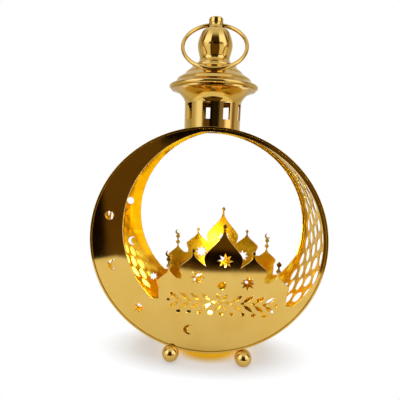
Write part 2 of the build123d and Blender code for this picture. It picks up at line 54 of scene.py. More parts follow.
class Wire:
    # one socket of a node tree, so that shader sums read as sums
    def __init__(self, tree, socket):
        self.tree = tree
        self.socket = socket

    def sum(self, operation, first, second):
        return self.tree.node("ShaderNodeMath", {"operation": operation}, {0: first, 1: second})

    def __add__(self, other):
        return self.sum("ADD", self, other)

    def __radd__(self, other):
        return self.sum("ADD", other, self)

    def __sub__(self, other):
        return self.sum("SUBTRACT", self, other)

    def __rsub__(self, other):
        return self.sum("SUBTRACT", other, self)

    def __mul__(self, other):
        return self.sum("MULTIPLY", self, other)

    def __rmul__(self, other):
        return self.sum("MULTIPLY", other, self)

    def __truediv__(self, other):
        return self.sum("DIVIDE", self, other)

    def __rtruediv__(self, other):
        return self.sum("DIVIDE", other, self)

    def __pow__(self, other):
        return self.sum("POWER", self, other)

    def __rpow__(self, other):
        return self.sum("POWER", other, self)


class Tree:
    # a material's or world's nodes; node() adds any of them
    def __init__(self, owner):
        owner.use_nodes = True
        self.owner = owner
        self.nodes = owner.node_tree.nodes
        self.links = owner.node_tree.links
        self.nodes.clear()

    def node(self, kind, settings=None, values=None, out=0):
        made = self.nodes.new(kind)
        for key, value in (settings or {}).items():
            if key == "stops":
                ramp = made.color_ramp
                while len(ramp.elements) < len(value):
                    ramp.elements.new(0.5)
                for element, (place, colour) in zip(ramp.elements, value):
                    element.position = place
                    element.color = (*colour, 1.0)
            else:
                setattr(made, key, value)
        for key, value in (values or {}).items():
            if isinstance(value, Wire):
                self.links.new(value.socket, made.inputs[key])
            else:
                made.inputs[key].default_value = value
        return Wire(self, made.outputs[out]) if made.outputs else made

    def vector(self, operation, first, second):
        return self.node("ShaderNodeVectorMath", {"operation": operation}, {0: first, 1: second})

    def length(self, spot):
        return self.node("ShaderNodeVectorMath", {"operation": "LENGTH"}, {0: spot}, out="Value")

    def place(self, scale=1.0):
        # place on the part in millimetres, times a scale that may differ along X, Y and Z
        factors = scale if isinstance(scale, tuple) else (scale,) * 3
        spot = self.node("ShaderNodeTexCoord", out="Object")
        return self.vector("MULTIPLY", spot, tuple(factor / mm for factor in factors))

    def noise(self, scale, detail=3.0, rough=0.5):
        return self.node("ShaderNodeTexNoise", None,
                         {"Vector": self.place(scale), "Scale": 1.0, "Detail": detail, "Roughness": rough})

    def blend(self, share, first, second):
        return self.node("ShaderNodeMix", {"data_type": "RGBA"}, {0: share, 6: first, 7: second}, out=2)

    def fit(self, value, low, high, newLow=0.0, newHigh=1.0):
        # eases from one value to another between two limits
        return self.node("ShaderNodeMapRange", {"interpolation_type": "SMOOTHSTEP"},
                         {0: value, 1: low, 2: high, 3: newLow, 4: newHigh})

    def surface(self, values):
        shader = self.node("ShaderNodeBsdfPrincipled", None, values)
        self.node("ShaderNodeOutputMaterial", None, {"Surface": shader})
        return self.owner


def rgb(red, green, blue):
    return (red, green, blue, 1.0)


bandLow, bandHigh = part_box("ring_band")
drumHeight = (bandLow.z + bandHigh.z) / 2 / mm  # of the drum's axis above the table

# Gold plating: one recipe, with the marks that each way of working the metal leaves; the inner kinds also
# carry painted lamp glow and shade in their colour
gold = {
    "bright": rgb(0.745, 0.49, 0.12), "deep": rgb(0.725, 0.46, 0.10),
    # warm and warmDeep: a yellower copy of the gold, painted glow of the lantern's lamps on the back of the
    # sheet
    "warm": rgb(0.78, 0.57, 0.035), "warmDeep": rgb(0.72, 0.50, 0.02),
    # hoop and hoopDeep: a darker, more orange copy of the gold, painted shade and lamp glow on the inside of
    # the band
    "hoop": rgb(0.64, 0.40, 0.02), "hoopDeep": rgb(0.54, 0.31, 0.012),
    "roughness": 0.085, "smudgeRoughness": 0.05, "markRoughness": 0.04,
    "waveHeight": 0.022 * mm,  # slow unevenness of the sheet
    "markHeight": 0.0012 * mm,  # fine polishing marks
    "satinReach": 40.0, "polishReach": 53.0,  # from the drum's axis
    "tint": {"scale": 0.06, "detail": 2.0}, "tintRange": (0.35, 0.65),
    "smudge": {"scale": 0.11, "detail": 4.0, "rough": 0.62}, "smudgeRange": (0.42, 0.75),
    "mark": {"detail": 4.0, "rough": 0.6}, "wave": {"detail": 1.0, "rough": 0.3},
}
goldKinds = {
    "sheetGold": {"markScale": (0.25, 0.25, 6.0), "roughness": 0.055},
    "bandGold": {"markScale": (0.6, 8.0, 0.6)},
    # innerGold: its warm tints are painted lamp glow; its satin middle and polished rim are real
    "innerGold": {"markScale": (0.9, 0.9, 5.0), "waveScale": 0.05, "waveShare": 0.8, "roughness": 0.27,
                  "tints": ("warmDeep", "warm"), "rimRoughness": 0.12},  # back of the sheet
    # hoopGold: its hoop tints are painted shade and lamp glow inside the drum; its roughness is real
    "hoopGold": {"markScale": (0.9, 6.0, 0.9), "waveScale": 0.05, "waveShare": 2.0, "roughness": 0.36,
                 "tints": ("hoopDeep", "hoop")},  # inside of the band
    "spunGold": {"markScale": (0.12, 0.12, 7.0), "waveScale": 0.05, "waveShare": 0.5},
    "ballGold": {"markScale": 2.4, "waveScale": 0.12, "waveShare": 0.35},
    "wireGold": {"markScale": (6.0, 1.2, 1.2), "waveScale": 0.2, "waveShare": 0.2},
}


def goldFinish(name, markScale, waveScale=0.035, waveShare=1.0, roughness=gold["roughness"],
               tints=("deep", "bright"), rimRoughness=None):
    tree = Tree(bpy.data.materials.new(name))
    if rimRoughness:
        # polished towards the drum's rim, satin towards its middle
        centred = tree.vector("SUBTRACT", tree.place(), (0, 0, drumHeight))
        reach = tree.length(tree.vector("MULTIPLY", centred, (1, 0, 1)))
        roughness = tree.fit(reach, gold["satinReach"], gold["polishReach"], roughness, rimRoughness)
    tint = tree.fit(tree.noise(**gold["tint"]), *gold["tintRange"])
    marks = tree.noise(markScale, **gold["mark"])
    smudges = tree.fit(tree.noise(**gold["smudge"]), *gold["smudgeRange"])
    wave = tree.noise(waveScale, **gold["wave"])
    bump = tree.node("ShaderNodeBump", None, {
        "Strength": 1.0,
        "Distance": 1.0,
        "Height": wave * (gold["waveHeight"] * waveShare) + marks * gold["markHeight"],
    })
    return tree.surface({
        "Base Color": tree.blend(tint, *[gold[shade] for shade in tints]),
        "Metallic": 1.0,
        "Roughness": roughness + smudges * gold["smudgeRoughness"] + (marks - 0.5) * gold["markRoughness"],
        "Normal": bump,
    })


sheetGold, bandGold, innerGold, hoopGold, spunGold, ballGold, wireGold = [
    goldFinish(name, **kind) for name, kind in goldKinds.items()]
print("gold finishes made")

# Moulded plastic of the lamp unit
plastic = {
    "cloud": {"scale": 0.18, "detail": 3.0}, "cloudRange": (0.3, 0.7),
    "pitDetail": 2.0, "pitHeight": 0.02 * mm, "pitStrength": 0.5, "pitRoughness": 0.18,
}
plasticKinds = {
    "caseMoulding": {"colour": rgb(0.58, 0.36, 0.06), "dark": rgb(0.48, 0.29, 0.045),
                     "roughness": 0.42, "grain": 5.0},
    "switchMoulding": {"colour": rgb(0.03, 0.03, 0.032), "dark": rgb(0.018, 0.018, 0.02),
                       "roughness": 0.36, "grain": 6.0},
}


def plasticFinish(name, colour, dark, roughness, grain):
    tree = Tree(bpy.data.materials.new(name))
    cloud = tree.fit(tree.noise(**plastic["cloud"]), *plastic["cloudRange"])
    pits = tree.noise(grain, plastic["pitDetail"])
    bump = tree.node("ShaderNodeBump", None, {
        "Strength": plastic["pitStrength"],
        "Distance": 1.0,
        "Height": pits * plastic["pitHeight"],
    })
    return tree.surface({
        "Base Color": tree.blend(cloud, dark, colour),
        "Roughness": roughness + (pits - 0.5) * plastic["pitRoughness"],
        "Normal": bump,
    })


# Nickel-plated steel of screws and contacts
steel = {
    "streaks": {"scale": (3.0, 3.0, 0.4), "detail": 4.0, "rough": 0.6}, "streakRange": (0.3, 0.7),
    "dark": rgb(0.62, 0.61, 0.60), "pale": rgb(0.74, 0.73, 0.72), "roughness": 0.24, "streakRoughness": 0.2,
}


def steelFinish(name):
    tree = Tree(bpy.data.materials.new(name))
    streaks = tree.noise(**steel["streaks"])
    return tree.surface({
        "Base Color": tree.blend(tree.fit(streaks, *steel["streakRange"]), steel["dark"], steel["pale"]),
        "Metallic": 1.0,
        "Roughness": steel["roughness"] + (streaks - 0.5) * steel["streakRoughness"],
    })


# Warm clear lens of the lamps, with an uneven glow
lens = {
    "cloud": {"scale": 0.9, "detail": 2.0}, "cloudRange": (0.3, 0.7), "colour": rgb(1.0, 0.8, 0.36),
    "glowDeep": rgb(1.0, 0.70, 0.20), "glowPale": rgb(1.0, 0.80, 0.34), "glow": 30.0,
    "roughness": 0.12, "cloudRoughness": 0.08,
}


def lampFinish(name):
    tree = Tree(bpy.data.materials.new(name))
    cloud = tree.fit(tree.noise(**lens["cloud"]), *lens["cloudRange"])
    return tree.surface({
        "Base Color": lens["colour"],
        "Roughness": lens["roughness"] + cloud * lens["cloudRoughness"],
        "Emission Color": tree.blend(cloud, lens["glowDeep"], lens["glowPale"]),
        "Emission Strength": lens["glow"],
    })


# Pale lamp board with the weave of its cloth
board = {
    "weaveScale": 2.5, "weaveShare": 0.08, "thread": rgb(0.55, 0.52, 0.40),
    "cloud": {"scale": 0.4, "detail": 3.0}, "cloudRange": (0.3, 0.7),
    "dark": rgb(0.70, 0.68, 0.58), "pale": rgb(0.82, 0.80, 0.70), "roughness": 0.38, "cloudRoughness": 0.12,
}


def boardFinish(name):
    tree = Tree(bpy.data.materials.new(name))
    threads = {"Vector": tree.place(board["weaveScale"]), "Scale": 1.0}
    weave = tree.node("ShaderNodeTexChecker", None, threads, out=1)
    cloud = tree.fit(tree.noise(**board["cloud"]), *board["cloudRange"])
    mask = tree.blend(cloud, board["dark"], board["pale"])
    return tree.surface({
        "Base Color": tree.blend(weave * board["weaveShare"], mask, board["thread"]),
        "Roughness": board["roughness"] + cloud * board["cloudRoughness"],
    })


# Dark jacket of the cells, with a plain copper-coloured band at one end
cell = {
    "bandStart": 9.0, "jacket": rgb(0.02, 0.02, 0.022), "band": rgb(0.42, 0.20, 0.07),
    "scuffs": {"scale": 0.8, "detail": 5.0, "rough": 0.65}, "scuffRange": (0.5, 0.8), "scuffShare": 0.3,
    "scuffed": rgb(0.2, 0.19, 0.18), "roughness": 0.26, "scuffRoughness": 0.2,
}


def cellFinish(name):
    tree = Tree(bpy.data.materials.new(name))
    across = tree.node("ShaderNodeSeparateXYZ", None, {0: tree.place()}, out=0)
    band = tree.node("ShaderNodeMath", {"operation": "GREATER_THAN"}, {0: across, 1: cell["bandStart"]})
    scuffs = tree.fit(tree.noise(**cell["scuffs"]), *cell["scuffRange"])
    jacket = tree.blend(band, cell["jacket"], cell["band"])
    return tree.surface({
        "Base Color": tree.blend(scuffs * cell["scuffShare"], jacket, cell["scuffed"]),
        "Roughness": cell["roughness"] + scuffs * cell["scuffRoughness"],
    })


caseFinish, switchFinish = [plasticFinish(name, **kind) for name, kind in plasticKinds.items()]
nickel = steelFinish("nickelPlate")
cellJacket = cellFinish("cellJacket")
boardMask = boardFinish("boardMask")
lampLens = lampFinish("lampLens")

carriedFinishes = {
    "tie_screw": nickel, "tie_washer": nickel, "case_screws": nickel, "link_contact": nickel,
    "terminal_contacts": nickel, "battery_case": caseFinish, "battery_cover": caseFinish,
    "switch_body": switchFinish, "switch_slider": switchFinish, "front_cell": cellJacket,
    "rear_cell": cellJacket, "lamp_board": boardMask, "low_lamp": lampLens, "high_lamp": lampLens,
}
for node, finish in carriedFinishes.items():
    mesh = frame["nodes"][node].data
    mesh.materials.clear()
    mesh.materials.append(finish)
print("finishes on", len(carriedFinishes), "carried pieces")

# Corners that agree to this many places are welded, and edges past this angle stay crisp
weldDigits, sharpAngle = 4, 32.0


class Skin:
    # faces by their corners in millimetres; corners in one place are welded
    def __init__(self):
        self.points = []
        self.faces = []
        self.known = {}

    def corner(self, point):
        key = tuple(round(value, weldDigits) for value in point)
        if key not in self.known:
            self.known[key] = len(self.points)
            self.points.append([value * mm for value in point])
        return self.known[key]

    def face(self, *corners):
        ring = []
        for corner in corners:
            index = self.corner(corner)
            if index not in ring:
                ring.append(index)
        if len(ring) > 2:
            self.faces.append(ring)

    def strips(self, columns, levels, skip=None):
        # quads between neighbouring columns of points; skip(column, level) leaves a hole
        for column in range(len(columns) - 1):
            for level in range(levels - 1):
                if skip is None or not skip(column, level):
                    here, after = columns[column], columns[column + 1]
                    self.face(here[level], after[level], after[level + 1], here[level + 1])

    def mesh(self, name):
        # a mesh of the faces, all turned outwards
        made = bpy.data.meshes.new(name)
        made.from_pydata(self.points, [], self.faces)
        work = bmesh.new()
        work.from_mesh(made)
        bmesh.ops.recalc_face_normals(work, faces=work.faces)
        work.to_mesh(made)
        work.free()
        return made

    def finish(self, name, node, slot, finish, body="lantern", inner=None, isInner=None):
        mesh = self.mesh(name)
        mesh.shade_smooth()
        mesh.set_sharp_from_angle(angle=math.radians(sharpAngle))
        mesh.materials.append(finish)
        if inner:
            mesh.materials.append(inner)
            for polygon in mesh.polygons:
                polygon.material_index = int(isInner(polygon.center / mm, polygon.normal))
        piece = bpy.data.objects.new(name, mesh)
        scene.collection.objects.link(piece)
        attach(piece, body)
        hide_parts(node)
        print(name, len(mesh.vertices), "points", len(mesh.polygons), "faces")
        return piece


def turned(profile, segments):
    # a closed or open outline of (radius, height) turned about Z
    skin = Skin()
    columns = []
    for step in range(segments + 1):
        angle = 2 * math.pi * (step % segments) / segments
        across, along = math.cos(angle), math.sin(angle)
        columns.append([(radius * across, radius * along, height) for radius, height in profile])
    skin.strips(columns, len(profile))
    return skin


def curve(points, steps):
    # a smooth line through points
    line = []
    padded = [points[0], *points, points[-1]]
    for index in range(len(points) - 1):
        a, b, c, d = [Vector(point) for point in padded[index:index + 4]]
        for step in range(steps):
            t = step / steps
            rise, turn = 2 * a - 5 * b + 4 * c - d, 3 * b - a - 3 * c + d
            line.append(tuple(0.5 * (2 * b + (c - a) * t + rise * t * t + turn * t**3)))
    line.append(tuple(points[-1]))
    return line


def bend(start, middle, end, steps):
    # an arc through three points of a plane
    (ax, ay), (bx, by), (cx, cy) = start, middle, end
    span = 2 * (ax * (by - cy) + bx * (cy - ay) + cx * (ay - by))
    a2, b2, c2 = ax * ax + ay * ay, bx * bx + by * by, cx * cx + cy * cy
    ux = (a2 * (by - cy) + b2 * (cy - ay) + c2 * (ay - by)) / span
    uy = (a2 * (cx - bx) + b2 * (ax - cx) + c2 * (bx - ax)) / span
    radius = math.hypot(ax - ux, ay - uy)
    first = math.atan2(ay - uy, ax - ux)
    turnMiddle = (math.atan2(by - uy, bx - ux) - first) % (2 * math.pi)
    turnEnd = (math.atan2(cy - uy, cx - ux) - first) % (2 * math.pi)
    if turnMiddle > turnEnd:
        turnEnd -= 2 * math.pi
    angles = [first + turnEnd * step / steps for step in range(steps + 1)]
    return [(ux + radius * math.cos(angle), uy + radius * math.sin(angle)) for angle in angles]


def arcPoints(across, upward, radius, first, last, steps):
    # an arc about a middle, from one angle in degrees to another
    turns = [math.radians(first + (last - first) * step / steps) for step in range(steps + 1)]
    return [(across + radius * math.cos(turn), upward + radius * math.sin(turn)) for turn in turns]


def rounded(points, radius, steps=4, most=0.45):
    # a line with its inner corners rounded
    line = [points[0]]
    for before, corner, after in zip(points, points[1:], points[2:]):
        corner = Vector(corner)
        inward, outward = Vector(before) - corner, Vector(after) - corner
        reach = min(radius, most * inward.length, most * outward.length)
        start, end = corner + inward.normalized() * reach, corner + outward.normalized() * reach
        for step in range(steps + 1):
            t = step / steps
            line.append(tuple((1 - t) ** 2 * start + 2 * t * (1 - t) * corner + t * t * end))
    line.append(points[-1])
    return line


# Drum band with its pierced lattice
drum = {
    "radius": 70.0, "depth": 45.0, "sheet": 0.8,
    "columns": 9, "rows": (-2, -1, 0, 1, 2), "middle": -4.5, "pitch": 10.5, "rowPitch": 7.3, "tilt": 26.0,
    "holeLength": 10.4, "holeWidth": 6.2, "holeEdge": 0.15, "cellShare": 0.45,
    "stepsPerPitch": 12, "stepsPerRow": 4, "plainStep": 1.5, "facing": 0.5,
    "shoulder": 2.1, "roll": 0.25, "rollSteps": 6,  # below: in from the radius, in from the rim
    "lip": ((0.29, 0.0), (0.91, 0.0), (0.95, 0.0), (1.13, 0.07), (1.2, 0.25), (1.15, 0.5), (0.8, 0.5)),
    "bead": ((0.8, 1.38), (1.22, 1.5), (1.4, 1.8), (1.22, 2.1), (0.8, 2.22)),
}


def onDrum(angle, depth, radius):
    turn = math.radians(angle)
    return (radius * math.cos(turn), depth, drumHeight + radius * math.sin(turn))


def almondReach(angle):
    # distance from the middle of a pointed opening to its edge
    half, rise = drum["holeLength"] / 2, drum["holeWidth"] / 2
    arc = (half * half + rise * rise) / (2 * rise)
    drop = rise - arc
    upward, across = abs(math.sin(angle)), math.cos(angle)
    return drop * upward + math.sqrt(arc * arc - drop * drop * across * across)


def pierce(skin, middleAngle, row, outer, inner):
    # one cell of the lattice: both skins and the wall of its opening
    arcStep = drum["pitch"] / drum["stepsPerPitch"]
    rowStep = drum["rowPitch"] / drum["stepsPerRow"]
    wide, tall = drum["stepsPerPitch"] // 2, drum["stepsPerRow"] // 2
    edge = [(step, -tall) for step in range(-wide, wide)] + [(wide, step) for step in range(-tall, tall)]
    edge += [(-step, tall) for step in range(-wide, wide)] + [(-wide, -step) for step in range(-tall, tall)]
    perDegree = math.radians(1) * drum["radius"]
    tilt = math.radians(drum["tilt"] * (row % 2) * row)
    spots = [(step * arcStep * perDegree, level * rowStep) for step, level in edge]
    turns = [math.atan2(upward, across) for across, upward in spots]
    for tip in (tilt, tilt + math.pi):
        gaps = [abs(math.remainder(turn - tip, 2 * math.pi)) for turn in turns]
        turns[gaps.index(min(gaps))] = tip

    def ring(share, grow, radius):
        line = []
        for (across, upward), turn in zip(spots, turns):
            reach = almondReach(turn - tilt) + grow
            x = across * share + reach * math.cos(turn) * (1 - share)
            y = upward * share + reach * math.sin(turn) * (1 - share)
            line.append(onDrum(middleAngle + x / perDegree, -row * drum["rowPitch"] - y, radius))
        return line + line[:1]

    chamfer, share = drum["holeEdge"], drum["cellShare"]
    rings = [
        ring(1, 0, outer), ring(share, chamfer, outer), ring(0, chamfer, outer), ring(0, 0, outer - chamfer),
        ring(0, 0, inner + chamfer), ring(0, chamfer, inner), ring(share, chamfer, inner), ring(1, 0, inner),
    ]
    for first, second in zip(rings, rings[1:]):
        for index in range(len(first) - 1):
            skin.face(first[index], first[index + 1], second[index + 1], second[index])


def makeBand():
    skin = Skin()
    outer, inner = drum["radius"], drum["radius"] - drum["sheet"]
    half, step = drum["pitch"] / 2, drum["pitch"] / drum["stepsPerPitch"]
    start = drum["middle"] - drum["columns"] * half
    end = drum["middle"] + drum["columns"] * half
    count = drum["columns"] * drum["stepsPerPitch"]
    right = [start + index * step for index in range(count + 1)]
    left = [180 - angle for angle in reversed(right)]

    def plain(first, last):
        steps = round((last - first) / drum["plainStep"])
        return [first + (last - first) * index / steps for index in range(steps + 1)]

    def bare(angles, levels):
        # both skins of a stretch without openings
        for radius in (outer, inner):
            skin.strips([[onDrum(angle, level, radius) for level in levels] for angle in angles], len(levels))

    topArc, bottomArc = plain(end, 180 - end), plain(180 - start, 360 + start)
    rowStep = drum["rowPitch"] / drum["stepsPerRow"]
    rowCount = len(drum["rows"]) * drum["stepsPerRow"]
    field = len(drum["rows"]) * drum["rowPitch"] / 2
    levels = [-field + index * rowStep for index in range(rowCount + 1)]
    bare(topArc, levels)
    bare(bottomArc, levels)
    for side in (1, -1):
        for row in drum["rows"]:
            cells = drum["columns"] - row % 2
            for cell in range(cells):
                angle = drum["middle"] + (cell - (cells - 1) / 2) * drum["pitch"]
                pierce(skin, angle if side == 1 else 180 - angle, row, outer, inner)
            if row % 2:
                low = -row * drum["rowPitch"] - drum["rowPitch"] / 2
                rowLevels = [low + index * rowStep for index in range(drum["stepsPerRow"] + 1)]
                halfCell = drum["stepsPerPitch"] // 2
                for angles in (right[:halfCell + 1], right[-halfCell - 1:]):
                    bare([angle if side == 1 else 180 - angle for angle in angles], rowLevels)
    rim, roll = drum["depth"] / 2, drum["roll"]
    hoop = [(outer, field), (outer, rim - drum["shoulder"])]
    hoop += arcPoints(outer - roll, rim - roll, roll, 0, 90, drum["rollSteps"])
    hoop += [(outer - inward, rim - deep) for inward, deep in (*drum["lip"], *drum["bead"])]
    hoop.append((inner, field))
    around = right[:-1] + topArc[:-1] + left[:-1] + bottomArc
    for side in (-1, 1):
        columns = [[onDrum(angle, side * depth, radius) for radius, depth in hoop] for angle in around]
        skin.strips(columns, len(hoop))

    def facesIn(centre, normal):
        outward = (normal.x * centre.x + normal.z * (centre.z - drumHeight)) / drum["radius"]
        return outward < -drum["facing"] or (outward < drum["facing"] and abs(centre.y) < field)

    return skin.finish("ringBand", "ring_band", "gold_sheet", bandGold, inner=hoopGold, isInner=facesIn)


makeBand()

# Cut plates: the outline of each is traced from its solid and its cut edges are eased
plate = {"ease": 0.09, "sheet": 0.8, "digits": 3, "flat": 0.9, "tightest": 0.35, "facing": 0.5}


def tracedLoops(mesh, outward):
    # loops round the flat face that looks along outward, with the metal on their left
    places = [tuple(round(value / mm, plate["digits"]) for value in vertex.co) for vertex in mesh.vertices]
    steps = set()
    for polygon in mesh.polygons:
        if polygon.normal.dot(outward) > plate["flat"]:
            ring = [places[index] for index in polygon.vertices]
            steps.update(zip(ring, ring[1:] + ring[:1]))
    following = {first: second for first, second in steps if (second, first) not in steps}
    loops = []
    while following:
        start = spot = min(following)
        loop = []
        while spot in following:
            loop.append(Vector(spot))
            spot = following.pop(spot)
        loops.append(loop)
    return loops


def easedLoop(loop, outward, reach):
    # the loop drawn in by reach towards the metal
    drawn = []
    for index, spot in enumerate(loop):
        before = (spot - loop[index - 1]).normalized()
        after = (loop[(index + 1) % len(loop)] - spot).normalized()
        first, second = outward.cross(before), outward.cross(after)
        drawn.append(spot + (first + second) * (reach / max(plate["tightest"], 1 + first.dot(second))))
    return drawn


def makePlate(name, node, side):
    outward = Vector((0, side, 0))
    skin = Skin()
    ease, deep = plate["ease"], plate["sheet"]
    fills = [[], []]
    for loop in tracedLoops(frame["nodes"][node].data, outward):
        drawn = easedLoop(loop, outward, ease)
        sunk = [(loop, ease), (loop, deep - ease), (drawn, deep)]
        rings = [drawn] + [[spot - outward * depth for spot in line] for line, depth in sunk]
        for first, second in zip(rings, rings[1:]):
            for index in range(len(loop)):
                skin.face(first[index - 1], first[index], second[index], second[index - 1])
        fills[0].append(rings[0])
        fills[1].append(rings[-1])
    for fill in fills:
        work = bmesh.new()
        for ring in fill:
            spots = [work.verts.new(spot) for spot in ring]
            for index in range(len(spots)):
                work.edges.new((spots[index - 1], spots[index]))
        bmesh.ops.triangle_fill(work, use_beauty=True, edges=work.edges[:], normal=outward)
        for face in work.faces:
            skin.face(*[tuple(vertex.co) for vertex in face.verts])
        work.free()
    return skin.finish(name, node, "gold_sheet", sheetGold, inner=innerGold,
                       isInner=lambda centre, normal: normal.y * side < plate["facing"])


makePlate("frontPlate", "front_plate", -1)
makePlate("backPlate", "back_plate", 1)

# Turret collar: a windowed tube that flares out under the cap
collar = {
    "radius": 16.9, "sheet": 0.8, "height": 21.9, "rim": 24.8, "flare": 7.3, "bendShares": (0.33, 0.63),
    "windows": 9, "windowWidth": 4.5, "windowLow": 4.4, "windowTall": 9.1, "firstAngle": -101.0,
    "stepsBetween": 10, "stepsInWindow": 4, "bendSteps": 14, "seatGap": 0.05, "footShares": (0.0, 0.5, 1.0),
    "facing": 0.3,
}
drumTop = drumHeight + drum["radius"]


def makeCollar():
    skin = Skin()
    outer, inner = collar["radius"], collar["radius"] - collar["sheet"]
    low, high = drumTop + collar["windowLow"], drumTop + collar["windowLow"] + collar["windowTall"]
    flareBase, rimTop = drumTop + collar["height"] - collar["flare"], drumTop + collar["height"]
    rimLow = rimTop - collar["sheet"]
    middle = (outer + collar["bendShares"][0] * (collar["rim"] - outer),
              flareBase + collar["bendShares"][1] * (rimLow - flareBase))
    behind = (middle[0] - collar["sheet"], middle[1] + collar["sheet"])
    cove = bend((outer, flareBase), middle, (collar["rim"], rimLow), collar["bendSteps"])
    back = bend((inner, flareBase), behind, (collar["rim"], rimTop), collar["bendSteps"])
    halfTurn = math.degrees(math.asin(collar["windowWidth"] / 2 / outer))
    turn = 360 / collar["windows"]
    angles, inWindow = [], []
    for index in range(collar["windows"]):
        start = collar["firstAngle"] + index * turn - halfTurn
        for step in range(collar["stepsInWindow"]):
            angles.append(start + 2 * halfTurn * step / collar["stepsInWindow"])
            inWindow.append(True)
        for step in range(collar["stepsBetween"]):
            angles.append(start + 2 * halfTurn + (turn - 2 * halfTurn) * step / collar["stepsBetween"])
            inWindow.append(False)
    angles.append(angles[0] + 360)

    def column(angle):
        across, along = math.cos(math.radians(angle)), math.sin(math.radians(angle))

        def seat(radius):
            return drumHeight + math.sqrt((drum["radius"] + collar["seatGap"]) ** 2 - (radius * across) ** 2)

        def spot(radius, height):
            return (radius * across, radius * along, height)

        line = [spot(outer, seat(outer) + (low - seat(outer)) * share) for share in collar["footShares"]]
        line += [spot(outer, high)] + [spot(radius, height) for radius, height in cove]
        line += [spot(radius, height) for radius, height in reversed(back)]
        line += [spot(inner, high), spot(inner, low), spot(inner, seat(inner)), spot(outer, seat(outer))]
        return line

    columns = [column(angle) for angle in angles]
    levels = len(columns[0])
    outerLow, innerHigh = len(collar["footShares"]) - 1, levels - 4  # where the windows start on each side
    skin.strips(columns, levels, lambda index, level: inWindow[index] and level in (outerLow, innerHigh))
    for index in range(len(angles) - 1):
        here, after = columns[index], columns[index + 1]
        if inWindow[index]:
            skin.face(here[outerLow], after[outerLow], after[innerHigh + 1], here[innerHigh + 1])
            skin.face(here[outerLow + 1], after[outerLow + 1], after[innerHigh], here[innerHigh])
        if inWindow[index] != inWindow[index - 1]:
            skin.face(here[outerLow], here[outerLow + 1], here[innerHigh], here[innerHigh + 1])

    def facesIn(centre, normal):
        return normal.x * centre.x + normal.y * centre.y < -collar["facing"] * collar["radius"]

    return skin.finish("turretCollar", "collar", "gold_turned", spunGold, inner=innerGold, isInner=facesIn)


makeCollar()

# Tiered cap with its rolled brim
cap = {
    "brim": 26.2, "height": 13.65, "bead": 1.1, "sheet": 0.8, "hole": 1.55, "soft": 0.9, "segments": 192,
    "rollSteps": 15, "hollowShare": 0.955,  # below: shares of the brim, of the height
    "outline": ((0.93, 0.19), (0.86, 0.26), (0.825, 0.41), (0.66, 0.60), (0.64, 0.675), (0.53, 0.84),
                (0.50, 0.90), (0.49, 0.97), (0.46, 1.0)),
}
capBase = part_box("cap")[0].z / mm


def makeCap():
    brim, bead, sheet = cap["brim"], cap["bead"], cap["sheet"]
    tiers = [(brim * across, capBase + cap["height"] * upward) for across, upward in cap["outline"]]
    roll = arcPoints(brim - bead, capBase + bead, bead, -90, 90, cap["rollSteps"])
    top = capBase + cap["height"]
    outside = roll + rounded([roll[-1], *tiers, (cap["hole"], top)], cap["soft"])[1:]
    hollow = [(radius - sheet, height - sheet) for radius, height in reversed(tiers)]
    skirt = brim * cap["hollowShare"] - sheet
    inside = [(cap["hole"], top - sheet), *hollow, (skirt, capBase + sheet), (skirt, capBase)]
    skin = turned(outside + inside + roll[:1], cap["segments"])
    return skin.finish("tieredCap", "cap", "gold_turned", spunGold)


makeCap()

# Finial with the hole that carries the ring
finial = {
    "radius": 10.1, "height": 25.4, "segments": 160, "thread": 1.55, "threadDepth": 12.3,
    "foot": (1.03, 0.023), "footEdge": 0.15, "curveSteps": 8,  # shares of the radius, of the height
    "outline": ((0.90, 0.090), (0.87, 0.154), (0.91, 0.230), (0.98, 0.342), (1.0, 0.433), (0.955, 0.530),
                (0.88, 0.617), (0.80, 0.685), (0.71, 0.727), (0.60, 0.756), (0.50, 0.774)),
    "neck": 0.38, "neckSwell": 0.35, "swellLevel": 0.82, "neckDrop": 0.4,
    "knob": 0.41, "knobBase": 0.885, "knobLip": (0.12, 0.1), "knobEdge": 0.2, "knobRound": 0.9,
    "roundSteps": 9, "holeShare": 0.857, "hole": 1.71, "holeSteps": 48,
}
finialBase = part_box("finial")[0].z / mm


def cutBy(piece, ends):
    # takes the prism between two rings of points out of a piece
    tool = Skin()
    for index in range(len(ends[0])):
        tool.face(ends[0][index - 1], ends[0][index], ends[1][index], ends[1][index - 1])
    for end in ends:
        tool.face(*end)
    cutter = bpy.data.objects.new("tool", tool.mesh("tool"))
    scene.collection.objects.link(cutter)
    cut = piece.modifiers.new("cut", "BOOLEAN")
    cut.operation, cut.solver, cut.object = "DIFFERENCE", "EXACT", cutter
    bpy.context.view_layer.update()
    made = bpy.data.meshes.new_from_object(piece.evaluated_get(bpy.context.evaluated_depsgraph_get()))
    piece.modifiers.clear()
    piece.data = made
    made.set_sharp_from_angle(angle=math.radians(sharpAngle))
    bpy.data.objects.remove(cutter)
    return piece


def makeFinial():
    size, tall = finial["radius"], finial["height"]

    def level(share):
        return finialBase + share * tall

    body = [(size * across, level(upward)) for across, upward in (finial["foot"], *finial["outline"])]
    neck, knob, soft = size * finial["neck"], size * finial["knob"], finial["knobRound"]
    knobBase, knobTop, edge = level(finial["knobBase"]), level(1), finial["knobEdge"]
    swell = (neck + finial["neckSwell"], level(finial["swellLevel"]))
    foot, footEdge = body[0][0], finial["footEdge"]
    outline = [(finial["thread"], finialBase), (foot - footEdge, finialBase), (foot, finialBase + footEdge)]
    outline += curve([*body, swell, (neck, knobBase - finial["neckDrop"])], finial["curveSteps"])
    outline += [(neck + finial["knobLip"][0], knobBase - finial["knobLip"][1]), (knob - edge, knobBase),
                (knob, knobBase + edge)]
    outline += arcPoints(knob - soft, knobTop - soft, soft, 0, 90, finial["roundSteps"])
    boreTop = finialBase + finial["threadDepth"]
    outline = [(0.0, boreTop), (finial["thread"], boreTop), *outline, (0.0, knobTop)]
    piece = turned(outline, finial["segments"]).finish("turnedFinial", "finial", "gold_turned", spunGold)
    hole = arcPoints(0.0, level(finial["holeShare"]), finial["hole"], 0, 360, finial["holeSteps"])[:-1]
    return cutBy(piece, [[(side * size, *spot) for spot in hole] for side in (-1, 1)])


makeFinial()

